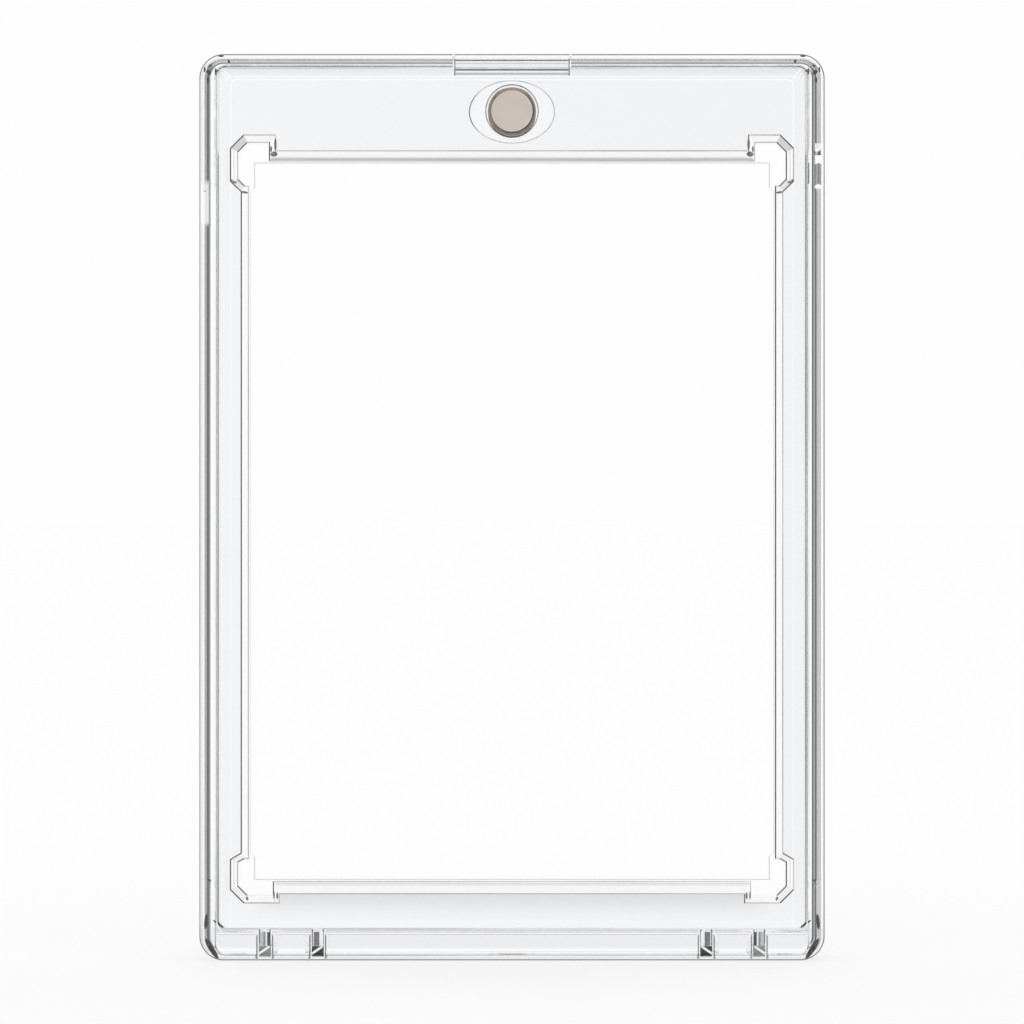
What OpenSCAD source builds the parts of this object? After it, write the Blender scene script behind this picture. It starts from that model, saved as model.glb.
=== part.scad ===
// Clear trading card display case: a rear shell and a hinged front cover held shut by two magnets.
// Every piece is drawn lying on the case's back, with X across, Y up the case and Z towards the front.
// The parting plane between shell and cover is Z = 0. stand_up() then turns the case onto its base.

/* [Card] */
// Width of the card that the case holds
card_w = 63.5; // [60:0.1:64.5]
// Height of the card
card_h = 88.9; // [84:0.1:90]
// Thickness of the card
card_t = 0.89; // [0.3:0.01:1.4]
// Room beside the card at each long edge
card_play_side = 1; // [0.6:0.05:1.2]
// Room beyond the card at each short edge
card_play_end = 0.4; // [0.1:0.05:0.6]
// Room in front of the card when the case is shut
card_slack = 0.11; // [0.05:0.01:0.3]

/* [Case] */
// Outside width
case_w = 78; // [76:0.5:84]
// Outside height
case_h = 113; // [110:0.5:120]
// Outside thickness, front to back
case_d = 8; // [7.6:0.1:10]
// Radius of the four outside corners
corner_r = 3.05; // [2:0.05:5]
// Rounding of the outside edges at the front
edge_r = 0.75; // [0.4:0.05:1.2]
// Rounding of the outside edges at the back
back_edge_r = 1.4; // [0.4:0.05:1.6]
// Width of the small chamfers along the inner edges
chamfer_w = 0.16; // [0.1:0.01:0.2]
// Depth of those chamfers, front to back
chamfer_d = 0.1; // [0.06:0.01:0.12]

/* [Rim and rail] */
// Thickness of the rim along the sides
rim_side = 2.13; // [1.9:0.01:3]
// Thickness of the rim along the top
rim_top = 1.55; // [1.2:0.05:2.5]
// Inside radius of the rim's top corners
rim_corner_r = 1.24; // [0.6:0.02:2]
// Height of the hinge rail along the bottom
rail_h = 3.55; // [3.2:0.05:4.5]
// Rounding along the rail's front top edge
rail_round = 0.6; // [0.4:0.05:0.9]
// How far the rail's front lies behind the rim's front
rail_step = 0.2; // [0.1:0.05:0.3]
// Corner radius at the two ends of the rail's front
rail_corner_r = 1.4; // [0.6:0.1:2]

/* [Cover] */
// Gap between the cover and the rim at the sides and top
cover_gap = 0.14; // [0.1:0.01:0.3]
// Gap between the cover and the rail
cover_foot_gap = 0.3; // [0.25:0.05:0.6]
// Gap between the faces of cover and shell
seam_gap = 0.05; // [0.02:0.01:0.15]
// Radius of the cover's corners
cover_corner_r = 1.1; // [0.5:0.1:2]
// Width of the sloped border round the cover's front
border_w = 1.3; // [1:0.05:3]
// How far the border falls towards the cover's edge
border_drop = 0.3; // [0.1:0.05:0.3]

/* [Thumb tab] */
// Width of the tab
tab_w = 14.4; // [10:0.2:24]
// Thickness of the tab, front to back
tab_d = 2.6; // [1.6:0.1:3.2]
// How far the tab's ledge reaches down over the cover's border
tab_ledge = 0.95; // [0.4:0.05:1.4]
// Length of the slope along the ledge's lower edge
tab_slope = 0.5; // [0.2:0.05:0.6]
// Radius of the ledge's lower corners
tab_corner_r = 0.4; // [0.2:0.05:0.6]
// Gap round the tab in its notch
tab_gap = 0.18; // [0.1:0.01:0.3]

/* [Side notches] */
// Length of each notch in the case's outer back edges
notch_l = 5.6; // [3:0.1:8]
// How far each notch reaches in from the case's side
notch_w = 1.3; // [0.6:0.05:1.35]
// Depth of each notch, from the back
notch_d = 1.2; // [0.5:0.1:2]
// Slope of the notch's inner wall
notch_slope = 0.3; // [0.1:0.05:0.6]
// Length of the ramp at the notch's upper end
notch_ramp = 1.1; // [0.4:0.1:2]
// Height of the upper notch at the left
notch_y_upper_left = 94.4; // [60:0.1:104]
// Height of the upper notch at the right
notch_y_upper_right = 99; // [60:0.1:104]
// Height of the two lower notches
notch_y_lower = 7; // [6.5:0.1:40]

/* [Card recess] */
// Height of the recess mouth's lower edge above the base
recess_y = 8.1; // [7.5:0.1:12]
// Depth of the channel round the card's seat
moat_depth = 0.5; // [0.2:0.05:0.8]
// Width of the channel along the card's long edges
moat_side = 0.35; // [0.3:0.05:0.9]
// Width of the channel along the card's short edges
moat_end = 0.35; // [0.2:0.05:0.6]
// Spread of the recess's side walls between floor and mouth
wall_slope_side = 0.75; // [0.3:0.05:1]
// Spread of the recess's upper wall between floor and mouth
wall_slope_top = 1.15; // [0.3:0.05:1.5]
// Spread of the recess's lower wall between floor and mouth
wall_slope_foot = 1.45; // [0.3:0.05:1.6]
// Slope round the card's seat
seat_slope = 0.15; // [0.05:0.05:0.2]
// How far the seat is cut back beside each corner relief
seat_cut = 0.55; // [0.2:0.05:0.8]

/* [Corner reliefs] */
// How far a relief reaches out past the recess's side
relief_out = 1.35; // [1:0.05:2]
// How far the upper reliefs reach above the recess
relief_up = 1.95; // [1:0.05:2.2]
// How far the lower reliefs reach below the recess
relief_down = 1.1; // [0.8:0.1:1.6]
// Length of an upper relief along the recess's end
relief_arm_upper = 4.2; // [3:0.1:8]
// Length of a lower relief along the recess's end
relief_arm_lower = 4.7; // [3:0.1:8]
// Length of a relief down the recess's side
relief_leg = 5.1; // [4:0.1:9]
// Rise of the upper reliefs' slanted ends
relief_rise_upper = 1.3; // [0.4:0.1:2]
// Rise of the lower reliefs' slanted ends
relief_rise_lower = 0.8; // [0.4:0.1:2]
// Size of the cut-off outer corner
relief_cut = 1.65; // [0.8:0.05:2.4]
// Spread of a relief's walls between floor and mouth
relief_slope = 0.75; // [0.3:0.05:0.8]

/* [Magnets] */
// Diameter of each magnet
magnet_d = 6; // [4:0.1:6.4]
// Thickness of each magnet
magnet_t = 2; // [1:0.1:2.2]
// Chamfer on the magnet's edges
magnet_chamfer = 0.45; // [0.1:0.05:0.5]
// Room round the magnet in its pocket
magnet_play = 0.35; // [0.1:0.05:0.5]
// Distance of the magnets' centre from the case's top
magnet_from_top = 7.1; // [6.8:0.1:7.6]
// Length of the oval recess for each cap
cap_l = 10.8; // [8.4:0.1:14]
// Height of the oval recess for each cap
cap_h = 7.9; // [7.6:0.1:8.2]
// Thickness of each cap
cap_t = 0.8; // [0.5:0.05:1]
// Gap round each cap in its recess
cap_gap = 0.1; // [0.05:0.01:0.15]
// Film of glue between cap, magnet and pocket
glue_t = 0.02; // [0.01:0.01:0.04]

/* [Hinge] */
// Height of the hinge axis above the base
hinge_y = 1.5; // [1.5:0.05:1.6]
// How far the hinge axis lies behind the case's front
hinge_set = 1.4; // [1.35:0.05:1.4]
// Distance of each hinge from the middle of the case
hinge_x = 27.5; // [14:0.5:29]
// Width of the bridge between a hinge's two slots
bridge_w = 4.8; // [3:0.2:8]
// Thickness of each ear
ear_t = 1.5; // [1:0.1:2]
// Radius of each ear
ear_r = 1.1; // [1:0.05:1.1]
// Gap round each ear in its slot
ear_gap = 0.15; // [0.1:0.01:0.2]
// Width of the slanted facets along each ear's rear edges
ear_facet_w = 0.55; // [0.3:0.05:0.65]
// Depth of those facets, front to back
ear_facet_d = 0.4; // [0.2:0.05:0.8]
// Radius of the hinge pins on the ears
pin_r = 0.7; // [0.5:0.05:0.75]
// How far each pin reaches into the bridge
pin_reach = 0.6; // [0.5:0.1:1.2]
// Running gap round and beyond each pin
pin_gap = 0.05; // [0.02:0.01:0.1]
// Width of the throats through which the pins snap in
throat_w = 1.1; // [0.8:0.05:1.2]

/* [Hidden] */
$fn = 48;

// How far cuts run past the faces that they open
over = 0.5;
// How far moulded-on features reach into the piece that carries them
root = 0.6;
// Number of straight steps round an oval
oval_steps = 72;

clear_plastic = [0.86, 0.9, 0.93, 0.35];
nickel = [0.8, 0.76, 0.72];

front_z = case_d / 2;
back_z = -case_d / 2;

cavity_w = case_w - 2 * rim_side;
cavity_top = case_h - rim_top;
rail_front_z = front_z - rail_step;

cover_w = cavity_w - 2 * cover_gap;
cover_foot = rail_h + cover_foot_gap;
cover_top = cavity_top - cover_gap;

tab_foot = cover_top - tab_ledge;
tab_back_z = front_z - tab_d;

// Whether each notch is mirrored to the left, and its height
notch_places = [
    [1, notch_y_upper_left],
    [0, notch_y_upper_right],
    [1, notch_y_lower],
    [0, notch_y_lower]
];

seat_w = card_w + 2 * card_play_side;
seat_h = card_h + 2 * card_play_end;
seat_depth = card_t + card_slack - seam_gap;
floor_w = seat_w + 2 * moat_side;
floor_h = seat_h + 2 * moat_end;
floor_depth = seat_depth + moat_depth;
mouth_w = floor_w + 2 * wall_slope_side;
floor_y = recess_y + wall_slope_foot;
seat_y = floor_y + moat_end;
seat_top = seat_y + seat_h;
recess_top = floor_y + floor_h + wall_slope_top;

magnet_y = case_h - magnet_from_top;
pocket_r = magnet_d / 2 + magnet_play;

hinge_z = front_z - hinge_set;
slot_w = ear_t + 2 * ear_gap;
slot_offset = bridge_w / 2 + slot_w / 2;

// Outline of the recess where its walls have spread by a share of their full slope, counterclockwise
function recess_outline(share) = let (
    x = floor_w / 2 + wall_slope_side * share,
    low = floor_y - wall_slope_foot * share,
    high = floor_y + floor_h + wall_slope_top * share
) [[-x, low], [x, low], [x, high], [-x, high]];

// Where the line through a along direction u meets the line through b along direction v
function crossing(a, u, b, v) =
    a + u * ((b - a)[0] * v[1] - (b - a)[1] * v[0]) / (u[0] * v[1] - u[1] * v[0]);

function unit(v) = v / norm(v);

// A counterclockwise outline with every side moved in by the same distance
function inset(points, distance) = let (n = len(points)) [
    for (i = [0 : n - 1])
        let (
            here = points[i],
            u = unit(here - points[(i + n - 1) % n]),
            v = unit(points[(i + 1) % n] - here)
        )
        crossing(here + distance * [-u[1], u[0]], u, here + distance * [-v[1], v[0]], v)
];

function oval(l, h) = [
    for (i = [0 : oval_steps - 1])
        let (a = 360 * i / oval_steps) [l / 2 * cos(a), h / 2 * sin(a)]
];

module stand_up() {
    rotate([90, 0, 0]) children();
}

// Draws once at the right and once, mirrored, at the left
module both_sides() {
    for (side = [0, 1]) mirror([side, 0, 0]) children();
}

// Extrudes a profile drawn with Y across and Z up, along X from x
module along_x(x, length) {
    translate([x, 0, 0]) rotate([90, 0, 90]) linear_extrude(height = length) children();
}

module rounded_rectangle(w, h, r) {
    square([w - 2 * r, h], center = true);
    square([w, h - 2 * r], center = true);
    for (x = [-1, 1], y = [-1, 1]) translate([x * (w / 2 - r), y * (h / 2 - r)]) circle(r = r);
}

// Solid through rings of an outline and its height, from the lowest up, with equal numbers of points
module loft(rings) {
    n = len(rings[0][0]);
    last = n * (len(rings) - 1);
    points = [for (ring = rings, p = ring[0]) [p[0], p[1], ring[1]]];
    sides = [for (k = [0 : n : last - n], i = [0 : n - 1]) [k + i, k + n + i, k + n + (i + 1) % n, k + (i + 1) % n]];
    polyhedron(points, concat([[for (i = [0 : n - 1]) i], [for (i = [n - 1 : -1 : 0]) last + i]], sides));
}

// A well between outlines just above its floor and just below its mouth, with chamfers at both
module well(low, high) {
    loft([
        [inset(low, chamfer_w), -floor_depth],
        [low, -floor_depth + chamfer_d],
        [high, -chamfer_d],
        [inset(high, -chamfer_w * (1 + over / chamfer_d)), over]
    ]);
}

// A slab with rounded corners whose sides spread as they rise
module flared_slab(w, h, r, thickness, spread) {
    rotate([90, 0, 0]) linear_extrude(height = h - 2 * r, center = true)
        polygon([[-w / 2, 0], [w / 2, 0], [w / 2 + spread, thickness], [-w / 2 - spread, thickness]]);
    rotate([90, 0, 90]) linear_extrude(height = w - 2 * r, center = true)
        polygon([[-h / 2, 0], [h / 2, 0], [h / 2 + spread, thickness], [-h / 2 - spread, thickness]]);
    for (x = [-1, 1], y = [-1, 1])
        translate([x * (w / 2 - r), y * (h / 2 - r), 0]) cylinder(h = thickness, r1 = r, r2 = r + spread);
}

// The chamfer that widens an opening in the case's front, drawn from the opening's lower edge up
module front_chamfer(w, h, r) {
    rise = chamfer_d + over;
    translate([0, h / 2, front_z - chamfer_d]) flared_slab(w, h, r, rise, chamfer_w / chamfer_d * rise);
}

// Cross-section of the case's border, from inside to the rounded outside edges
module border_section() {
    translate([0, back_z]) square([corner_r - back_edge_r, case_d]);
    translate([0, back_z + back_edge_r]) square([corner_r, case_d - back_edge_r - edge_r]);
    square([corner_r - edge_r, front_z]);
    translate([corner_r - edge_r, front_z - edge_r]) circle(r = edge_r);
    translate([corner_r - back_edge_r, back_z + back_edge_r]) circle(r = back_edge_r);
}

module border_bar(length) {
    rotate([90, 0, 0]) linear_extrude(height = length, center = true) border_section();
}

// The whole outside of the closed case
module outer_body() {
    inner_w = case_w - 2 * corner_r;
    inner_h = case_h - 2 * corner_r;
    translate([-inner_w / 2, corner_r, back_z]) cube([inner_w, inner_h, case_d]);
    both_sides() translate([inner_w / 2, case_h / 2, 0]) border_bar(inner_h);
    translate([0, case_h - corner_r, 0]) rotate([0, 0, 90]) border_bar(inner_w);
    translate([0, corner_r, 0]) rotate([0, 0, -90]) border_bar(inner_w);
    both_sides() {
        translate([inner_w / 2, case_h - corner_r, 0]) rotate_extrude(angle = 90) border_section();
        translate([inner_w / 2, corner_r, 0]) rotate([0, 0, -90]) rotate_extrude(angle = 90) border_section();
    }
}

// The space inside the rim that the cover fills
module cover_cavity() {
    linear_extrude(height = case_d) {
        translate([-cavity_w / 2, rail_h]) square([cavity_w, cavity_top - rim_corner_r - rail_h]);
        translate([-cavity_w / 2 + rim_corner_r, rail_h])
            square([cavity_w - 2 * rim_corner_r, cavity_top - rail_h]);
        both_sides() translate([cavity_w / 2 - rim_corner_r, cavity_top - rim_corner_r])
            circle(r = rim_corner_r);
    }
    translate([0, rail_h, 0]) front_chamfer(cavity_w, cavity_top - rail_h, rim_corner_r);
}

// What is taken off the rail's front: a shallow step inside the rim and a rounded top edge
module rail_relief() {
    step_h = cover_foot + 2 * rail_corner_r;
    translate([0, edge_r + step_h / 2, rail_front_z]) linear_extrude(height = rail_step + over)
        rounded_rectangle(cavity_w, step_h, rail_corner_r);
    translate([0, edge_r, 0]) front_chamfer(cavity_w, step_h, rail_corner_r);
    along_x(-cavity_w / 2, cavity_w) translate([rail_h - rail_round, rail_front_z - rail_round]) difference() {
        square(rail_round + over);
        circle(r = rail_round);
    }
}

// What is cut off the seat beside one relief, drawn down and inwards from the seat's corner
module seat_cut_back(leg) {
    outline = [
        [moat_side, -leg - moat_side],
        [moat_side, moat_end],
        [-seat_cut, moat_end],
        [-seat_cut, seat_cut - leg]
    ];
    spread = seat_slope * (seat_depth + over) / moat_depth;
    loft([[inset(outline, seat_slope), -floor_depth], [inset(outline, -spread), over]]);
}

module relief_well(arm, leg, beyond, rise) {
    outline = [
        [-arm, -leg],
        [0, -leg],
        [relief_out, rise - leg],
        [relief_out, beyond - relief_cut],
        [relief_out - relief_cut, beyond],
        [-arm, beyond]
    ];
    share = chamfer_d / floor_depth;
    well(inset(outline, relief_slope * (1 - share)), inset(outline, relief_slope * share));
}

// The card's recess: sloped walls, four corner reliefs and a raised seat inside a shallow channel
module card_recess() {
    share = chamfer_d / floor_depth;
    difference() {
        union() {
            well(recess_outline(share), recess_outline(1 - share));
            both_sides() {
                translate([mouth_w / 2, recess_top, 0])
                    relief_well(relief_arm_upper, relief_leg, relief_up, relief_rise_upper);
                translate([mouth_w / 2, recess_y, 0]) mirror([0, 1, 0])
                    relief_well(relief_arm_lower, relief_leg, relief_down, relief_rise_lower);
            }
        }
        seat = [[-seat_w / 2, seat_y], [seat_w / 2, seat_y], [seat_w / 2, seat_top], [-seat_w / 2, seat_top]];
        loft([
            [inset(seat, -seat_slope * (1 + over / moat_depth)), -floor_depth - over],
            [seat, -seat_depth]
        ]);
    }
    both_sides() {
        translate([seat_w / 2, seat_top, 0]) seat_cut_back(seat_top - recess_top + relief_leg);
        translate([seat_w / 2, seat_y, 0]) mirror([0, 1, 0]) seat_cut_back(recess_y + relief_leg - seat_y);
    }
}

// The pocket for one magnet under its cap's oval recess, cut up from the plane Z = 0
module magnet_pocket() {
    translate([0, magnet_y, -over]) {
        linear_extrude(height = cap_t + glue_t + over) polygon(oval(cap_l, cap_h));
        cylinder(r = pocket_r, h = cap_t + magnet_t + 2 * glue_t + over);
    }
}

// One magnet in its place above its cap
module magnet() {
    r = magnet_d / 2;
    color(nickel) translate([0, magnet_y, cap_t + glue_t]) rotate_extrude() polygon([
        [0, 0],
        [r - magnet_chamfer, 0],
        [r, magnet_chamfer],
        [r, magnet_t - magnet_chamfer],
        [r - magnet_chamfer, magnet_t],
        [0, magnet_t]
    ]);
}

module magnet_cap() {
    color(clear_plastic) translate([0, magnet_y, 0]) linear_extrude(height = cap_t)
        polygon(oval(cap_l - 2 * cap_gap, cap_h - 2 * cap_gap));
}

// Cover pieces lie above the parting plane, past the seam, and shell pieces below it
module in_cover() {
    translate([0, 0, seam_gap]) children();
}

module in_shell() {
    mirror([0, 0, 1]) children();
}

// Outline of a notch at a share of its depth, from the case's side inwards
function notch_outline(share) = let (
    inner = notch_slope * share - notch_w,
    top = notch_l / 2 - notch_ramp * share
) [[inner, -notch_l / 2], [over, -notch_l / 2], [over, top], [inner, top]];

// Fingernail notches in the case's outer back edges, ramped at their upper ends
module side_notches() {
    for (place = notch_places)
        mirror([place[0], 0, 0]) translate([case_w / 2, place[1], back_z])
            loft([[notch_outline(-over / notch_d), -over], [notch_outline(1), notch_d]]);
}

// Draws one ear's features at the right of the middle of a bridge, at all four ears
module at_ears() {
    both_sides() for (side = [0, 1]) translate([hinge_x, 0, 0]) mirror([side, 0, 0]) children();
}

// The open slots, sockets and snap-in throats of the two hinges
module hinge_cuts() {
    slot_y = hinge_y - ear_r - ear_gap;
    slot_z = hinge_z - ear_r - ear_gap;
    socket_x = bridge_w / 2 - pin_reach - pin_gap;
    socket_l = slot_offset - socket_x;
    at_ears() {
        translate([bridge_w / 2, slot_y, slot_z]) cube([slot_w, rail_h - slot_y + over, front_z - slot_z + over]);
        translate([slot_offset, rail_h + over, rail_front_z]) rotate([90, 0, 0])
            linear_extrude(height = rail_h + over - slot_y) polygon([
                [-slot_w / 2, -chamfer_d],
                [slot_w / 2, -chamfer_d],
                [slot_w / 2 + 2 * chamfer_w, chamfer_d],
                [-slot_w / 2 - 2 * chamfer_w, chamfer_d]
            ]);
        along_x(socket_x, socket_l) translate([hinge_y, hinge_z]) circle(r = pin_r + pin_gap);
        along_x(socket_x, socket_l) translate([hinge_y, hinge_z - throat_w / 2])
            square([rail_h - hinge_y + over, throat_w]);
    }
}

module rear_shell() {
    color(clear_plastic) difference() {
        outer_body();
        cover_cavity();
        rail_relief();
        translate([-tab_w / 2 - tab_gap, cavity_top - over, tab_back_z - tab_gap])
            cube([tab_w + 2 * tab_gap, rim_top + 2 * over, tab_d + tab_gap + over]);
        side_notches();
        card_recess();
        in_shell() magnet_pocket();
        hinge_cuts();
    }
}

// Wedge taken off the cover's front along one edge, which lies at X = 0
module border_wedge(length) {
    rotate([90, 0, 0]) linear_extrude(height = length, center = true) polygon([
        [-border_w, front_z],
        [over, front_z - border_drop * (1 + over / border_w)],
        [over, front_z + over],
        [-border_w, front_z + over]
    ]);
}

module cover_plate() {
    cover_h = cover_top - cover_foot;
    cover_mid = (cover_top + cover_foot) / 2;
    layer = border_drop + chamfer_d;
    difference() {
        translate([0, cover_mid, 0]) {
            translate([0, 0, seam_gap]) linear_extrude(height = front_z - layer - seam_gap)
                rounded_rectangle(cover_w, cover_h, cover_corner_r);
            translate([0, 0, front_z - layer])
                flared_slab(cover_w, cover_h, cover_corner_r, layer, -chamfer_w / chamfer_d * layer);
        }
        both_sides() translate([cover_w / 2, cover_mid, 0]) border_wedge(cover_h + 2 * over);
        translate([0, cover_top, 0]) rotate([0, 0, 90]) border_wedge(cover_w + 2 * over);
        translate([0, cover_foot, 0]) rotate([0, 0, -90]) border_wedge(cover_w + 2 * over);
    }
}

// The thumb tab takes the case's own outside shape where it fills the notch in the rim
module thumb_tab() {
    difference() {
        intersection() {
            outer_body();
            translate([0, (tab_foot + case_h + tab_corner_r) / 2, tab_back_z]) linear_extrude(height = tab_d)
                rounded_rectangle(tab_w, case_h + tab_corner_r - tab_foot, tab_corner_r);
        }
        along_x(-tab_w / 2 - over, tab_w + 2 * over) polygon([
            [tab_foot - over, front_z - border_drop - over],
            [tab_foot, front_z - border_drop],
            [tab_foot + tab_slope, front_z],
            [tab_foot + tab_slope, front_z + over],
            [tab_foot - over, front_z + over]
        ]);
    }
}

// Ears of the two hinges, with slanted facets behind, chamfers in front and pins that face each other
module hinge_arms() {
    rear_z = hinge_z - ear_r;
    at_ears() {
        intersection() {
            along_x(slot_offset - ear_t / 2, ear_t) {
                translate([hinge_y, hinge_z]) circle(r = ear_r);
                translate([hinge_y, rear_z]) square([cover_foot + root - hinge_y, 2 * ear_r]);
            }
            translate([slot_offset, 0, rear_z]) rotate([90, 0, 0])
                linear_extrude(height = 2 * case_h, center = true) polygon([
                    [-ear_t / 2 + ear_facet_w, 0],
                    [ear_t / 2 - ear_facet_w, 0],
                    [ear_t / 2, ear_facet_d],
                    [ear_t / 2, 2 * ear_r - chamfer_d],
                    [ear_t / 2 - chamfer_w, 2 * ear_r],
                    [-ear_t / 2 + chamfer_w, 2 * ear_r],
                    [-ear_t / 2, 2 * ear_r - chamfer_d],
                    [-ear_t / 2, ear_facet_d]
                ]);
        }
        along_x(bridge_w / 2 - pin_reach, slot_offset - bridge_w / 2 + pin_reach)
            translate([hinge_y, hinge_z]) circle(r = pin_r);
    }
}

module front_cover() {
    color(clear_plastic) difference() {
        union() {
            cover_plate();
            thumb_tab();
            hinge_arms();
        }
        in_cover() magnet_pocket();
    }
}

stand_up() rear_shell();
stand_up() front_cover();
stand_up() in_cover() magnet();  // front_magnet
stand_up() in_shell() magnet();  // rear_magnet
stand_up() in_cover() magnet_cap();  // front_magnet_cap
stand_up() in_shell() magnet_cap();  // rear_magnet_cap
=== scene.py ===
import math

import bpy
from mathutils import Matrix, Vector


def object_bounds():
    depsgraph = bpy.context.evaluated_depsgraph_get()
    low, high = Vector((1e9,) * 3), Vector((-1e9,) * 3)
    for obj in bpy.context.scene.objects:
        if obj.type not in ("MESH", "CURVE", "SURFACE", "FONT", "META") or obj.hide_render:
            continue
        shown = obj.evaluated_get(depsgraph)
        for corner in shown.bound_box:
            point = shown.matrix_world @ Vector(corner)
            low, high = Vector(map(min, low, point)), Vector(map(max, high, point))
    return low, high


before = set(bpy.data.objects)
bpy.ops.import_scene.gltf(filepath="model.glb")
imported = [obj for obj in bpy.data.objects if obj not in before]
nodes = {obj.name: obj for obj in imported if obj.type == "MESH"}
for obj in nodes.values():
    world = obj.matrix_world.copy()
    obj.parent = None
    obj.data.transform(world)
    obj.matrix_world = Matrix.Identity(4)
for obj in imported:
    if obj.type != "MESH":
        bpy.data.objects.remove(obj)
cad_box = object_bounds()

CAPS = ["rear_magnet_cap", "front_magnet_cap"]
MAGNETS = ["rear_magnet", "front_magnet"]

# Lengths and places are in metres, as in the CAD, unless a comment says mm
MM = 1000.0

# How near to a plane a point counts as lying on it, and the blur of that mask
ON_PLANE = 0.00003
HAIR = 0.00001

# The closed case, its rail and the gap beside the cover
HALF_WIDTH = cad_box[1][0]
FRONT = cad_box[0][1]
BACK = cad_box[1][1]
TOP = cad_box[1][2]
CORNER_RADIUS = 0.00305
RAIL_TOP = 0.00355
GAP_SIDE = 0.03687
GAP_TOP = 0.11145

# The card recess in the shell, with its raised seat and the reliefs at its corners
RECESS_FOOT = 0.0081
RECESS_TOP = 0.1011
FLOOR_DEPTH = 0.00141
SEAT_DEPTH = 0.00092
SEAT_CUT_SIDE = 0.0324
RELIEF_SIDE = 0.0342

# The inner line of the cover's sloped border
BORDER_SIDE = 0.0352
BORDER_TOP = 0.11
BORDER_RADIUS = 0.0008

# The two upper side notches, and how far in from the outline they reach in mm
NOTCH_FOOT = 0.0962
NOTCH_HEAD = 0.1018
LEFT_NOTCH_FOOT = 0.0918
LEFT_NOTCH_HEAD = 0.097
NOTCH_IN = 1.25
NOTCH_SIDE = 0.03

# The right notch's floor, and the painted shade of its dark facets by their height along a slant above its
# foot
NOTCH_FLOOR_SIDE = 0.0377
NOTCH_FLOOR_DEPTH = 0.0028
NOTCH_SLANT = 0.35
NOTCH_BLOCK = (0.00105, 0.0037)
NOTCH_BAND = (0.0051, 0.0058)
NOTCH_STREAK = (0.03815, 0.0384)

# The magnets' height, the depths of the cover's pocket and of its cap's seat, and the oval's size
MAGNET_HEIGHT = 0.1059
POCKET_END = -0.00289
CAP_SEAT = -0.00087
CAP_LENGTH = 0.0108
CAP_HEIGHT = 0.0079
CAP_END = (0.0036, 0.0048)
POCKET_RING = (3.2, 3.36)

# The magnets' colours, with a painted highlight at the edge and painted shade in the ring and rim, and the
# radii in mm where the edge, the ring and the rim begin
NICKEL = (0.7, 0.61, 0.545, 1)
NICKEL_EDGE_HIGHLIGHT = (0.78, 0.69, 0.62, 1)
NICKEL_PAINTED_SHADE = (0.36, 0.26, 0.19, 1)
NICKEL_PAINTED_DARK = (0.05, 0.035, 0.025, 1)
MAGNET_EDGE = 2.45
MAGNET_RING = 2.55
MAGNET_RIM = 2.74

# How squarely the chamfers look to the front: 1 is flat towards it, 0 is edge on
CHAMFER = 0.848
CHAMFER_SPREAD = 0.012

# Clear plastic and the slight coolness of the grey shade painted on it
PLASTIC_IOR = 1.49
COOL_RED = 0.98
COOL_BLUE = 1.035

# Painted shade and painted highlights: these dark and light lines stand in for the light that the rounded
# clear edges bend.
# Lines that the clear edges show from the front, at the places where the photograph has them.
# Each has the distance of its middle from the outline in mm, half its width in mm, and the share
# of light that it lets through.
LEFT_LINES = [
    (0.1, 0.1, 0.3), (0.38, 0.07, 0.65), (1.1, 0.38, 0.42), (1.17, 0.15, 0.35),
]
RIGHT_LINES = [
    (0.1, 0.1, 0.2), (1.1, 0.58, 0.6), (1.38, 0.28, 0.6), (1.19, 0.06, 0.15), (1.57, 0.06, 0.15),
]
TOP_LINES = [(0.1, 0.1, 0.15), (0.95, 0.25, 0.62), (1.23, 0.08, 0.3)]
FOOT_LINES = [(0.08, 0.1, 0.15), (0.73, 0.07, 0.8)]
LINES_WIDTH = 2.1
TAB_LINES = [
    (0.1, 0.1, 0.2), (0.88, 0.08, 0.15), (1.5, 0.4, 0.85), (2.05, 0.1, 0.15), (2.55, 0.1, 0.5),
]
TAB_LINES_WIDTH = 2.8
TAB_SIDE = 7.2

# Blur of a line's sides in mm, how deep the lines and the glints reach behind the front, and
# the painted shade where the outline turns a corner
SOFT = 0.06
LINES_DEPTH = 0.0008
GLINTS_DEPTH = 0.0007
CORNER_SHADE = 0.02

# Painted dark glints, a painted shade, in mm: distance from the middle, height, half length, half width and
# slant in degrees
FRONT_GLINTS = [
    (36.24, 112.7, 0.3, 0.12, 0), (35.27, 112.03, 0.2, 0.12, 60), (37.85, 109.7, 0.3, 0.14, 90),
    (37.75, 110.65, 0.3, 0.2, 60), (38.27, 111.0, 0.3, 0.1, 90), (36.9, 110.75, 0.35, 0.1, 90),
    (37.4, 1.5, 1.3, 0.28, 58), (38.1, 4.9, 0.8, 0.18, 95), (36.56, 4.6, 0.7, 0.12, 36),
]
RECESS_GLINTS = [
    (29.62, 101.9, 0.65, 0.14, 90), (30.2, 101.4, 0.32, 0.13, 90), (29.85, 100.75, 0.4, 0.26, 0),
    (35.1, 97.42, 0.13, 0.13, 0), (34.8, 97.2, 0.24, 0.13, 0), (33.5, 95.95, 0.32, 0.13, 0),
    (29.4, 7.85, 0.38, 0.12, 90), (29.85, 7.85, 0.38, 0.09, 90), (33.2, 7.45, 0.2, 0.12, 60),
]
GLINT_SHADE = 0.003

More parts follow.
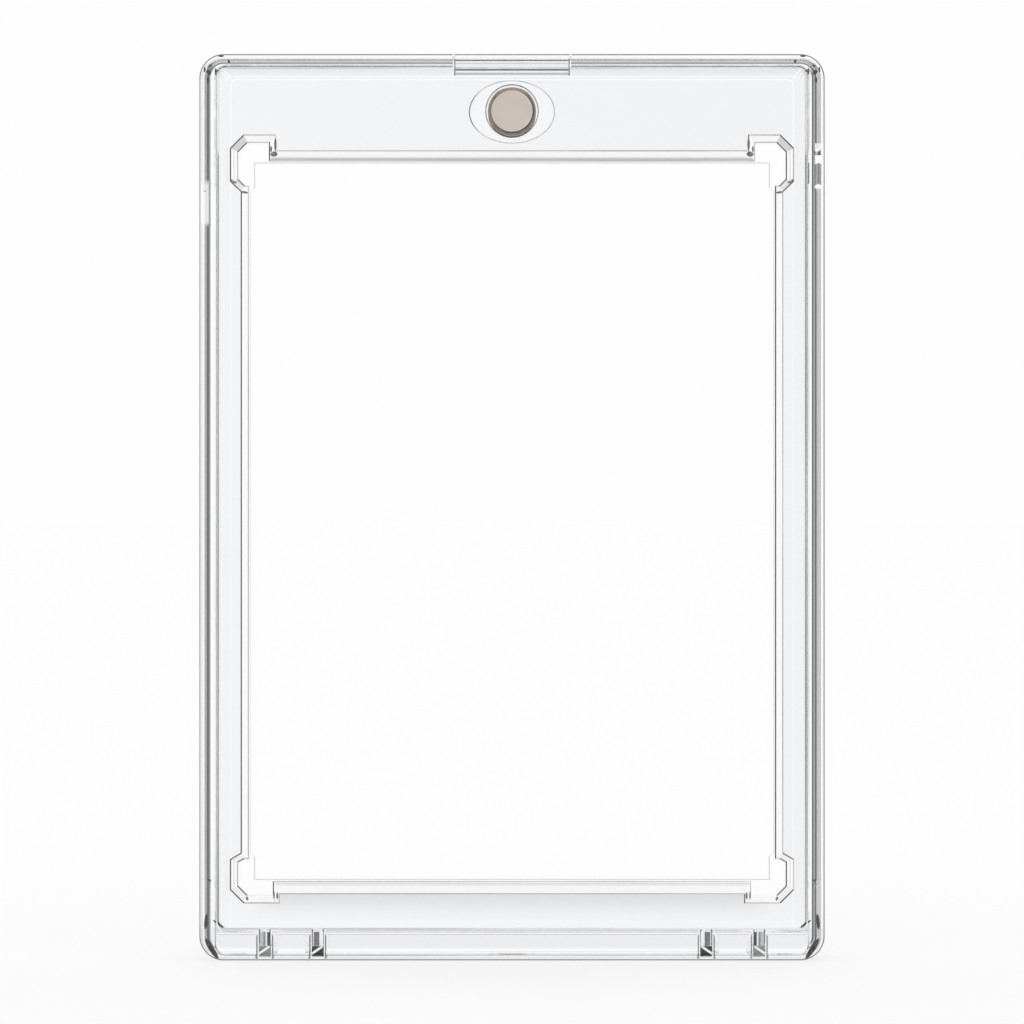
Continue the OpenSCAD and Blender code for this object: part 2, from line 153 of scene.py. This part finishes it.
# Painted shade lines of the hinge ears, placed in mm outwards from the ear's middle. The facets'
# painted shade belongs to the slanted feet below the knee.
OUTER_EAR_LINES = [(-0.5, 0.2, 0.08), (0.05, 0.14, 0.3), (0.5, 0.3, 0.6)]
INNER_EAR_LINES = [(-0.75, 0.06, 0.3), (0.15, 0.35, 0.22), (0.8, 0.05, 0.4)]
OUTER_EAR = 0.0308
INNER_EAR = 0.0242
OUTER_FACET_SHADE = 0.08
INNER_FACET_SHADE = 0.002
EAR_HALF = 0.9
FACET_HALF = 0.75
FACET_SLANT = 0.7
EAR_KNEE = 0.0019

# Levels of the white set and of the dimmer room that clear plastic and metal also see, and the
# heights in the sky between which that room lies
WHITE = 0.99
ROOM = 0.92
ROOM_FOOT = 0.2
ROOM_TOP = 0.8

# The floor's half size, its small drop under the case, and how it is lit
FLOOR_HALF = 30.0
FLOOR_DROP = 0.00001
FLOOR_WHITE = (0.95, 0.95, 0.95, 1)
FLOOR_GLOW = 1.01
FLOOR_GLOW_SHARE = 0.7

# The camera stands in front of the case, almost level with its middle
SENSOR = 36
LENS = 151.06
CAMERA_PLACE = (0, -0.539, 0.0559)

# How often light may bend through the many clear faces
CLEAR_BOUNCES = 32
GLOSSY_BOUNCES = 16


class Nodes:
    """A short way to add nodes to a tree and link them."""

    def __init__(self, tree):
        self.tree = tree
        tree.nodes.clear()

    def add(self, kind, **inputs):
        node = self.tree.nodes.new(kind)
        for name, value in inputs.items():
            self.put(node, name.replace("_", " "), value)
        return node

    def put(self, node, socket, value):
        if isinstance(value, bpy.types.NodeSocket):
            self.tree.links.new(value, node.inputs[socket])
        else:
            node.inputs[socket].default_value = value

    def math(self, operation, *values):
        node = self.tree.nodes.new("ShaderNodeMath")
        node.operation = operation
        for i, value in enumerate(values):
            self.put(node, i, value)
        return node.outputs[0]

    def ramp(self, value, start, end, low=0.0, high=1.0):
        """Goes smoothly from low, where the value is at start, to high, where it is at end."""
        node = self.tree.nodes.new("ShaderNodeMapRange")
        node.interpolation_type = "SMOOTHSTEP"
        for i, v in enumerate([value, start, end, low, high]):
            self.put(node, i, v)
        return node.outputs[0]

    def both(self, *masks):
        """Where all the masks hold."""
        result = masks[0]
        for mask in masks[1:]:
            result = self.math("MULTIPLY", result, mask)
        return result

    def between(self, value, low, high, blur):
        """Where the value lies between low and high."""
        rise = self.ramp(value, low - blur, low + blur)
        fall = self.ramp(value, high - blur, high + blur, 1.0, 0.0)
        return self.both(rise, fall)

    def on_plane(self, value, place):
        """Where the value is that of a plane."""
        return self.between(value, place - ON_PLANE, place + ON_PLANE, HAIR)

    def add_squares(self, a, b):
        return self.math("ADD", self.math("MULTIPLY", a, a), self.math("MULTIPLY", b, b))

    def grey(self, level):
        """The same cool grey as grey() gives, for a level that comes from nodes."""
        red = self.math("MULTIPLY", level, COOL_RED)
        blue = self.math("MINIMUM", self.math("MULTIPLY", level, COOL_BLUE), 1.0)
        return self.add("ShaderNodeCombineColor", Red=red, Green=level, Blue=blue).outputs[0]

    def mix_colour(self, factor, a, b):
        node = self.tree.nodes.new("ShaderNodeMix")
        node.data_type = "RGBA"
        self.put(node, 0, factor)
        self.put(node, 6, a)
        self.put(node, 7, b)
        return node.outputs[2]


def grey(level):
    """A slightly cool grey, for the shade painted on clear plastic."""
    return (level * COOL_RED, level, min(level * COOL_BLUE, 1), 1)


def painted_lines(n, position, lines):
    """The painted shade and light at a position in mm that a list of lines gives."""
    level = 1.0
    for middle, half, share in lines:
        away = n.math("ABSOLUTE", n.math("SUBTRACT", position, middle))
        level = n.math("MULTIPLY", level, n.ramp(away, half - SOFT, half + SOFT, share, 1.0))
    return n.grey(n.math("MULTIPLY", level, level))


class Plastic:
    """Clear polished plastic, with grey shade and light painted on its edges and seams."""

    def __init__(self, name):
        self.material = bpy.data.materials.new(name)
        self.material.use_nodes = True
        n = self.nodes = Nodes(self.material.node_tree)
        coordinates = n.add("ShaderNodeTexCoord")
        self.place = coordinates.outputs["Object"]
        split = n.add("ShaderNodeSeparateXYZ", Vector=self.place)
        self.across = split.outputs["X"]
        self.side = n.math("ABSOLUTE", self.across)
        self.depth = split.outputs["Y"]
        self.height = split.outputs["Z"]
        normal = n.add("ShaderNodeSeparateXYZ", Vector=coordinates.outputs["Normal"])
        self.facing = n.math("ABSOLUTE", normal.outputs["Y"])
        self.normal_across = normal.outputs["X"]
        self.sideways = n.math("ABSOLUTE", normal.outputs["X"])
        self.upright = n.math("ABSOLUTE", normal.outputs["Z"])
        self.colour = (1, 1, 1, 1)

    def paint_shade(self, level, *masks):
        """Paints a grey shade of that level where all the masks hold."""
        self.colour = self.nodes.mix_colour(self.nodes.both(*masks), self.colour, grey(level))

    def finish(self):
        n = self.nodes
        noise = n.add("ShaderNodeTexNoise", Vector=self.place, Scale=60.0, Detail=2.0)
        rough = n.ramp(noise.outputs["Fac"], 0.3, 0.7, 0.0, 0.01)
        shader = n.add("ShaderNodeBsdfPrincipled", Roughness=rough, IOR=PLASTIC_IOR)
        n.put(shader, "Base Color", self.colour)
        shader.inputs["Transmission Weight"].default_value = 1
        out = n.add("ShaderNodeOutputMaterial")
        n.put(out, "Surface", shader.outputs[0])
        return self.material


def paint_chamfer_shade(plastic, *levels):
    """Paints shade on the narrow chamfers along the moulded edges, each mask to its level."""
    n = plastic.nodes
    chamfer = n.between(plastic.facing, CHAMFER - CHAMFER_SPREAD, CHAMFER + CHAMFER_SPREAD, 0.004)
    noise = n.add("ShaderNodeTexNoise", Vector=plastic.place, Scale=45.0, Detail=1.0)
    uneven = n.ramp(noise.outputs["Fac"], 0.35, 0.65, 0.7, 1.3)
    level = 1.0
    for share, mask in levels:
        rest = n.math("MULTIPLY", level, n.math("SUBTRACT", 1.0, mask))
        level = n.math("ADD", rest, n.math("MULTIPLY", mask, share))
    level = n.math("MULTIPLY", n.math("MULTIPLY", level, uneven), level)
    shade = n.add("ShaderNodeCombineColor", Red=level, Green=level, Blue=n.math("MULTIPLY", level, 1.03))
    plastic.colour = n.mix_colour(chamfer, plastic.colour, shade.outputs[0])


def paint_glints(plastic, glints, where):
    """Paints small dark glints, a painted shade, at both sides of the case."""
    n = plastic.nodes
    across = n.math("MULTIPLY", plastic.side, MM)
    up = n.math("MULTIPLY", plastic.height, MM)
    dark = 0.0
    for middle, height, length, width, slant in glints:
        x = n.math("SUBTRACT", across, middle)
        z = n.math("SUBTRACT", up, height)
        cos = math.cos(math.radians(slant))
        sin = math.sin(math.radians(slant))
        along = n.math("ADD", n.math("MULTIPLY", x, cos / length), n.math("MULTIPLY", z, sin / length))
        beside = n.math("ADD", n.math("MULTIPLY", x, -sin / width), n.math("MULTIPLY", z, cos / width))
        reach = n.add_squares(along, beside)
        dark = n.math("MAXIMUM", dark, n.ramp(reach, 1.9, 1.1))
    plastic.paint_shade(GLINT_SHADE, where, dark)


def outline_distance(n, x, z, half_x, half_z, radius):
    """How far a place lies outside a rounded rectangle, and how far past its straight sides."""
    past_x = n.math("SUBTRACT", n.math("ABSOLUTE", x), half_x - radius)
    past_z = n.math("SUBTRACT", n.math("ABSOLUTE", z), half_z - radius)
    square_x = n.math("POWER", n.math("MAXIMUM", past_x, 0.0), 2.0)
    square_z = n.math("POWER", n.math("MAXIMUM", past_z, 0.0), 2.0)
    corner = n.math("SQRT", n.math("ADD", square_x, square_z))
    straight = n.math("MINIMUM", n.math("MAXIMUM", past_x, past_z), 0.0)
    distance = n.math("SUBTRACT", n.math("ADD", corner, straight), radius)
    return distance, past_x, past_z


def behind_front(plastic, depth, blur):
    """Where the surface is nearer to the case's front than a depth."""
    return plastic.nodes.ramp(plastic.depth, FRONT + depth + blur, FRONT + depth)


def paint_edge_lines(plastic):
    """Paints the dark shade lines and light highlight lines that the rounded outer edges show from the
    front.
    """
    n = plastic.nodes
    from_middle = n.math("SUBTRACT", plastic.height, TOP / 2)
    distance, past_x, past_z = outline_distance(
        n, plastic.across, from_middle, HALF_WIDTH, TOP / 2, CORNER_RADIUS)
    inwards = n.math("MULTIPLY", distance, -MM)
    left = painted_lines(n, inwards, LEFT_LINES)
    right = painted_lines(n, inwards, RIGHT_LINES)
    top = painted_lines(n, inwards, TOP_LINES)
    foot = painted_lines(n, inwards, FOOT_LINES)
    sides = n.mix_colour(n.ramp(plastic.across, -0.001, 0.001), left, right)
    ends = n.mix_colour(n.ramp(from_middle, -0.001, 0.001), foot, top)
    at_end = n.ramp(n.math("SUBTRACT", past_z, past_x), -0.0008, 0.0008)
    lines = n.mix_colour(at_end, sides, ends)
    at_corner = n.both(n.ramp(past_x, -0.0005, 0.0005), n.ramp(past_z, -0.0005, 0.0005))
    lines = n.mix_colour(n.both(at_corner, n.ramp(inwards, 0.25, 0.15)), lines, grey(CORNER_SHADE))
    in_front = behind_front(plastic, LINES_DEPTH, 0.00005)
    near = n.ramp(inwards, LINES_WIDTH, LINES_WIDTH - 0.05)
    notched = n.math("ADD", at_notch(plastic), n.math("MULTIPLY", at_left_notch(plastic), 0.6))
    shown = n.math("SUBTRACT", 1.0, n.both(notched, n.between(inwards, 0.2, NOTCH_IN, 0.05)))
    plastic.colour = n.mix_colour(n.both(in_front, near, shown), plastic.colour, lines)


def paint_tab_lines(plastic):
    """Paints the shade and light lines that the thumb tab's rounded edge and slanted ledge show from the
    front.
    """
    n = plastic.nodes
    down = n.math("MULTIPLY", n.math("SUBTRACT", TOP, plastic.height), MM)
    out = n.math("MULTIPLY", plastic.side, MM)
    lines = painted_lines(n, down, TAB_LINES)
    end = n.both(n.ramp(out, TAB_SIDE - 0.2, TAB_SIDE - 0.14), n.ramp(down, 0.6, 0.7))
    lines = n.mix_colour(end, lines, grey(0.1))
    here = n.both(
        behind_front(plastic, LINES_DEPTH, 0.00005),
        n.ramp(out, TAB_SIDE + 0.02, TAB_SIDE),
        n.ramp(down, TAB_LINES_WIDTH, TAB_LINES_WIDTH - 0.05),
    )
    plastic.colour = n.mix_colour(here, plastic.colour, lines)


def at_notch(plastic):
    """The part of the case's height that the upper right notch takes up."""
    n = plastic.nodes
    right = n.ramp(plastic.across, NOTCH_SIDE, NOTCH_SIDE + 0.001)
    return n.both(right, n.between(plastic.height, NOTCH_FOOT, NOTCH_HEAD, 0.0001))


def at_left_notch(plastic):
    """The part of the case's height that the upper left notch takes up."""
    n = plastic.nodes
    left = n.ramp(plastic.across, -NOTCH_SIDE, -NOTCH_SIDE - 0.001)
    return n.both(left, n.between(plastic.height, LEFT_NOTCH_FOOT, LEFT_NOTCH_HEAD, 0.0004))


def paint_notch_shade(plastic):
    """Paints shade on the dark facets of the upper right notch's floor, with lighter streaks across them,
    and leaves the light facets between clear.
    """
    n = plastic.nodes
    floor = n.both(
        at_notch(plastic),
        n.ramp(plastic.side, NOTCH_FLOOR_SIDE - 0.00005, NOTCH_FLOOR_SIDE),
        n.ramp(plastic.facing, 0.9, 0.95),
        n.between(plastic.depth, NOTCH_FLOOR_DEPTH - 0.0001, NOTCH_FLOOR_DEPTH + 0.0001, 0.00005),
    )
    slanted = n.math("ADD", plastic.height, n.math("MULTIPLY", plastic.side, -NOTCH_SLANT))
    above_foot = n.math("SUBTRACT", slanted, NOTCH_FOOT - NOTCH_SLANT * HALF_WIDTH)
    block = n.between(above_foot, *NOTCH_BLOCK, 0.00005)
    band = n.between(above_foot, *NOTCH_BAND, 0.00005)
    dark = n.math("MAXIMUM", block, band)
    streaks = n.between(plastic.side, *NOTCH_STREAK, 0.00005)
    plastic.paint_shade(0.04, floor, dark)
    plastic.paint_shade(0.12, floor, dark, streaks)


def paint_ear_shade(plastic):
    """Paints the shade lines and the shaded slanted facets that the hinge ears show from the front."""
    n = plastic.nodes
    upper = n.both(
        behind_front(plastic, 0.00045, 0.00005),
        n.ramp(plastic.height, RAIL_TOP + 0.0001, RAIL_TOP),
        n.ramp(plastic.height, EAR_KNEE - 0.0001, EAR_KNEE),
    )
    lower = n.both(
        behind_front(plastic, 0.00145, 0.00005),
        n.ramp(plastic.height, EAR_KNEE, EAR_KNEE - 0.0001),
    )
    outer = (OUTER_EAR, OUTER_EAR_LINES, OUTER_FACET_SHADE)
    inner = (INNER_EAR, INNER_EAR_LINES, INNER_FACET_SHADE)
    for middle, lines, dark in (outer, inner):
        out = n.math("MULTIPLY", n.math("SUBTRACT", plastic.side, middle), MM)
        here = n.between(out, -EAR_HALF, EAR_HALF, 0.01)
        colour = painted_lines(n, out, lines)
        plastic.colour = n.mix_colour(n.both(upper, here), plastic.colour, colour)
        rise = n.math("MULTIPLY", n.math("SUBTRACT", plastic.height, EAR_KNEE - 0.0005), MM)
        slanted = n.math("ADD", rise, n.math("MULTIPLY", out, FACET_SLANT))
        facet = n.math("MAXIMUM", n.ramp(slanted, 0.1, 0.18), n.ramp(slanted, -0.15, -0.23))
        plastic.paint_shade(dark, lower, n.between(out, -FACET_HALF, FACET_HALF, 0.03), facet)


def paint_gap_shade(plastic):
    """Paints shade on the front of the wall that faces the cover's edge across the narrow gap."""
    n = plastic.nodes
    side = n.both(n.on_plane(plastic.side, GAP_SIDE), n.ramp(plastic.sideways, 0.9, 0.95))
    top = n.both(n.on_plane(plastic.height, GAP_TOP), n.ramp(plastic.upright, 0.9, 0.95))
    near_front = behind_front(plastic, 0.0012, 0.0002)
    plastic.paint_shade(0.25, side, near_front)
    plastic.paint_shade(0.2, top, near_front)


def magnet_radius(n, x, z):
    """Distance in mm from the magnets' axis."""
    up = n.math("SUBTRACT", z, MAGNET_HEIGHT)
    return n.math("MULTIPLY", n.math("SQRT", n.add_squares(x, up)), MM)


def paint_pocket_shade(plastic):
    """Paints shade lines at the round pocket's edge and at the oval joint of the cap that closes it, darker
    at both ends of the oval and darkest at the left.
    """
    n = plastic.nodes
    radius = magnet_radius(n, plastic.across, plastic.height)
    end = n.on_plane(plastic.depth, POCKET_END)
    plastic.paint_shade(0.12, end, n.between(radius, *POCKET_RING, 0.02))
    seat = n.on_plane(plastic.depth, CAP_SEAT)
    from_axis = n.math("SUBTRACT", plastic.height, MAGNET_HEIGHT)
    up = n.math("MULTIPLY", from_axis, CAP_LENGTH / CAP_HEIGHT)
    oval = n.math("MULTIPLY", n.math("SQRT", n.add_squares(plastic.across, up)), 2 / CAP_LENGTH)
    joint = n.both(seat, n.ramp(oval, 0.965, 0.98), n.ramp(oval, 1.01, 1.0))
    inner, outer = CAP_END
    plastic.paint_shade(0.55, joint)
    plastic.paint_shade(0.03, joint, n.ramp(plastic.across, -inner, -outer))
    plastic.paint_shade(0.3, joint, n.ramp(plastic.across, inner, outer))


def paint_recess_shade(plastic):
    """Paints shade on the recess's sloped ends, the reliefs' walls and corners, and the seat's edge."""
    n = plastic.nodes
    wall = n.between(plastic.depth, 0.0001, FLOOR_DEPTH - 0.0001, HAIR)
    end_wall = n.both(wall, n.between(plastic.facing, 0.6, 0.745, 0.01))
    upper = n.ramp(plastic.height, RECESS_TOP - 0.004, RECESS_TOP - 0.003)
    lower = n.ramp(plastic.height, RECESS_FOOT + 0.004, RECESS_FOOT + 0.003)
    plastic.paint_shade(0.2, end_wall, upper, n.ramp(plastic.depth, 0.0007, 0.0013))
    plastic.paint_shade(0.65, end_wall, lower, n.ramp(plastic.depth, 0.0008, 0.0012))
    steep = n.both(wall, n.ramp(plastic.facing, 0.55, 0.5))
    corner = n.ramp(n.math("MULTIPLY", plastic.sideways, plastic.upright), 0.28, 0.34)
    plastic.paint_shade(0.42, steep, corner, n.ramp(plastic.height, 0.09, 0.1))
    plastic.paint_shade(0.8, steep, corner, n.ramp(plastic.height, 0.02, 0.01))
    seat = n.both(
        n.between(plastic.facing, 0.27, 0.305, 0.005),
        n.ramp(plastic.depth, SEAT_DEPTH, SEAT_DEPTH + 0.00005),
    )
    plastic.paint_shade(0.7, seat)
    plastic.paint_shade(0.2, seat, n.ramp(plastic.side, SEAT_CUT_SIDE + 0.00005, SEAT_CUT_SIDE))
    outer = n.ramp(plastic.side, RELIEF_SIDE, RELIEF_SIDE + 0.0001)
    upright = n.ramp(plastic.sideways, 0.8, 0.85)
    plastic.paint_shade(0.4, steep, outer, upright, n.between(plastic.depth, 0.0006, 0.0008, 0.0001))


def paint_seam_shade(plastic):
    """Paints shade on the face that meets the cover, a little darker towards the right, with painted
    highlight lines under the cover's border.
    """
    n = plastic.nodes
    seam = n.both(
        n.between(plastic.depth, -0.00002, 0.00002, HAIR),
        n.ramp(plastic.facing, 0.96, 0.98),
    )
    level = n.ramp(plastic.across, -0.03, 0.03, 0.82, 0.79)
    above = n.ramp(plastic.height, BORDER_TOP, BORDER_TOP + 0.001, 0.0, 0.15)
    foot = n.both(
        n.ramp(plastic.height, RECESS_FOOT - 0.0035, RECESS_FOOT, 0.0, 0.25),
        n.ramp(plastic.height, RECESS_FOOT + 0.0008, RECESS_FOOT),
        n.ramp(plastic.side, 0.0335, 0.029),
    )
    light_foot = n.ramp(plastic.height, RECESS_FOOT, RECESS_FOOT - 0.003, 0.0, 0.05)
    level = n.math("SUBTRACT", n.math("ADD", level, light_foot), n.math("ADD", above, foot))
    distance, past_side, past_top = outline_distance(
        n, plastic.across, plastic.height, BORDER_SIDE, BORDER_TOP, BORDER_RADIUS)
    line = n.both(
        n.between(distance, -0.00008, 0.00008, 0.00005),
        n.ramp(past_top, -0.03, 0.0, 0.4, 0.9),
    )
    diagonal = n.both(
        n.between(n.math("SUBTRACT", past_side, past_top), -0.0001, 0.0001, 0.00006),
        n.ramp(distance, 0.0, 0.0001),
    )
    light = n.math("MAXIMUM", line, diagonal)
    level = n.math("ADD", level, n.both(light, n.math("SUBTRACT", 1.0, level)))
    plastic.colour = n.mix_colour(seam, plastic.colour, n.grey(level))


def shell_plastic():
    """The shell's clear plastic, with shade and light painted on its edges, notch, gap wall, recess, seam
    and rail.
    """
    plastic = Plastic("shell_plastic")
    n = plastic.nodes
    paint_edge_lines(plastic)
    paint_notch_shade(plastic)
    paint_gap_shade(plastic)
    paint_recess_shade(plastic)
    paint_seam_shade(plastic)
    # Painted shade on the back face below the rail's top
    plastic.paint_shade(
        0.8,
        n.ramp(plastic.depth, BACK - 0.0001, BACK - 0.00005),
        n.ramp(plastic.height, RAIL_TOP + 0.00005, RAIL_TOP - 0.00005),
    )
    recess = n.ramp(plastic.depth, -0.0002, -0.0001)
    near_side = n.math("MULTIPLY", plastic.normal_across, n.math("SUBTRACT", FLOOR_DEPTH / 2, plastic.depth))
    level_edge = n.ramp(plastic.upright, 0.45, 0.5)
    foot = n.ramp(plastic.height, 0.0098, 0.0092)
    front = behind_front(plastic, 0.0005, 0.0001)
    slot = n.both(front, n.ramp(plastic.depth, FRONT + 0.00018, FRONT + 0.0002))
    paint_chamfer_shade(
        plastic,
        (0.5, recess),
        (0.0, n.both(recess, n.ramp(near_side, 0.0, HAIR))),
        (0.03, n.both(recess, n.ramp(plastic.upright, 0.2, 0.25))),
        (0.5, n.both(recess, level_edge)),
        (1.0, n.both(recess, level_edge, foot, n.ramp(plastic.depth, 0.001, 0.0011))),
        (0.95, front),
        (0.7, n.both(front, n.ramp(plastic.height, 0.0065, 0.006))),
        (0.25, slot),
    )
    paint_glints(plastic, FRONT_GLINTS, behind_front(plastic, GLINTS_DEPTH, 0.0001))
    paint_glints(plastic, RECESS_GLINTS, n.between(plastic.depth, -HAIR, 0.0015, HAIR))
    return plastic.finish()


def cover_plastic():
    """The cover's clear plastic, with shade and light painted at its magnet pocket, chamfers, thumb tab and
    hinge ears.
    """
    plastic = Plastic("cover_plastic")
    n = plastic.nodes
    paint_pocket_shade(plastic)
    everywhere = n.ramp(plastic.depth, BACK, FRONT)
    paint_chamfer_shade(
        plastic,
        (0.45, everywhere),
        (0.9, n.ramp(plastic.height, 0.1, 0.101)),
        (0.8, n.both(n.ramp(plastic.height, 0.0045, 0.0042), n.ramp(plastic.upright, 0.45, 0.5))),
    )
    paint_tab_lines(plastic)
    paint_ear_shade(plastic)
    paint_glints(plastic, FRONT_GLINTS, behind_front(plastic, GLINTS_DEPTH, 0.0001))
    return plastic.finish()


def cap_plastic():
    """The caps' clear plastic, with a little painted shade where the two caps meet."""
    plastic = Plastic("cap_plastic")
    n = plastic.nodes
    plastic.paint_shade(0.85, n.between(plastic.depth, -0.00002, 0.00002, HAIR))
    return plastic.finish()


def magnet_metal():
    """Satin nickel with a painted highlight at the face's edge and a painted shade ring on the chamfered
    edge, darker towards the lower right.
    """
    material = bpy.data.materials.new("magnet_nickel")
    material.use_nodes = True
    n = Nodes(material.node_tree)
    place = n.add("ShaderNodeTexCoord").outputs["Object"]
    split = n.add("ShaderNodeSeparateXYZ", Vector=place)
    radius = magnet_radius(n, split.outputs["X"], split.outputs["Z"])
    noise = n.add("ShaderNodeTexNoise", Vector=place, Scale=900.0, Detail=3.0)
    rough = n.ramp(noise.outputs["Fac"], 0.3, 0.7, 0.34, 0.42)
    up = n.math("SUBTRACT", split.outputs["Z"], MAGNET_HEIGHT)
    # Painted shade: the ring grows darker towards the lower right
    shaded = n.ramp(n.math("SUBTRACT", split.outputs["X"], up), -0.002, 0.003)
    colour = n.mix_colour(n.ramp(radius, MAGNET_EDGE, MAGNET_EDGE + 0.05), NICKEL, NICKEL_EDGE_HIGHLIGHT)
    ring = n.mix_colour(shaded, NICKEL_PAINTED_SHADE, NICKEL_PAINTED_DARK)
    colour = n.mix_colour(n.ramp(radius, MAGNET_RING, MAGNET_RING + 0.03), colour, ring)
    colour = n.mix_colour(n.ramp(radius, MAGNET_RIM, MAGNET_RIM + 0.06), colour, NICKEL_PAINTED_SHADE)
    shader = n.add("ShaderNodeBsdfPrincipled", Roughness=rough, Metallic=1.0)
    n.put(shader, "Base Color", colour)
    out = n.add("ShaderNodeOutputMaterial")
    n.put(out, "Surface", shader.outputs[0])
    return material


def studio_world():
    """A white studio in which clear plastic and metal also see a dimmer room above the set."""
    world = bpy.data.worlds.new("studio")
    bpy.context.scene.world = world
    world.use_nodes = True
    n = Nodes(world.node_tree)
    split = n.add("ShaderNodeSeparateXYZ", Vector=n.add("ShaderNodeTexCoord").outputs["Generated"])
    room = n.between(split.outputs["Z"], ROOM_FOOT, ROOM_TOP, 0.1)
    seen = n.ramp(room, 0.0, 1.0, WHITE, ROOM)
    path = n.add("ShaderNodeLightPath")
    plain = n.math("MAXIMUM", path.outputs["Is Camera Ray"], path.outputs["Is Diffuse Ray"])
    colour = n.mix_colour(plain, seen, (WHITE, WHITE, WHITE, 1))
    background = n.add("ShaderNodeBackground", Color=colour, Strength=1.0)
    out = n.add("ShaderNodeOutputWorld")
    n.put(out, "Surface", background.outputs[0])


def pale_floor():
    """A white floor that glows, which keeps the shadow on it faint."""
    half = FLOOR_HALF
    mesh = bpy.data.meshes.new("floor")
    corners = [(-half, -half, 0), (half, -half, 0), (half, half, 0), (-half, half, 0)]
    mesh.from_pydata(corners, [], [(0, 1, 2, 3)])
    floor = bpy.data.objects.new("floor", mesh)
    floor.location.z = -FLOOR_DROP
    bpy.context.scene.collection.objects.link(floor)
    material = bpy.data.materials.new("floor_white")
    material.use_nodes = True
    n = Nodes(material.node_tree)
    shade = n.add("ShaderNodeBsdfDiffuse", Color=FLOOR_WHITE)
    glow = n.add("ShaderNodeEmission", Strength=FLOOR_GLOW)
    mix = n.add("ShaderNodeMixShader")
    n.put(mix, 0, FLOOR_GLOW_SHARE)
    n.put(mix, 1, shade.outputs[0])
    n.put(mix, 2, glow.outputs[0])
    out = n.add("ShaderNodeOutputMaterial")
    n.put(out, "Surface", mix.outputs[0])
    mesh.materials.append(material)


def camera():
    """Looks straight at the case's front."""
    data = bpy.data.cameras.new("camera")
    data.sensor_width = SENSOR
    data.lens = LENS
    data.clip_start = 0.01
    data.clip_end = 20
    cam = bpy.data.objects.new("camera", data)
    cam.location = CAMERA_PLACE
    cam.rotation_euler = (math.radians(90), 0, 0)
    bpy.context.scene.collection.objects.link(cam)
    bpy.context.scene.camera = cam


shell = shell_plastic()
cover = cover_plastic()
cap = cap_plastic()
metal = magnet_metal()
dressed = {"rear_shell": shell, "front_cover": cover}
dressed.update({name: cap for name in CAPS})
dressed.update({name: metal for name in MAGNETS})
for name, material in dressed.items():
    node = nodes[name]
    node.data.materials.clear()
    node.data.materials.append(material)

studio_world()
pale_floor()
camera()
scene = bpy.context.scene
scene.view_settings.view_transform = "Standard"
scene.cycles.max_bounces = CLEAR_BOUNCES
scene.cycles.transmission_bounces = CLEAR_BOUNCES
scene.cycles.glossy_bounces = GLOSSY_BOUNCES
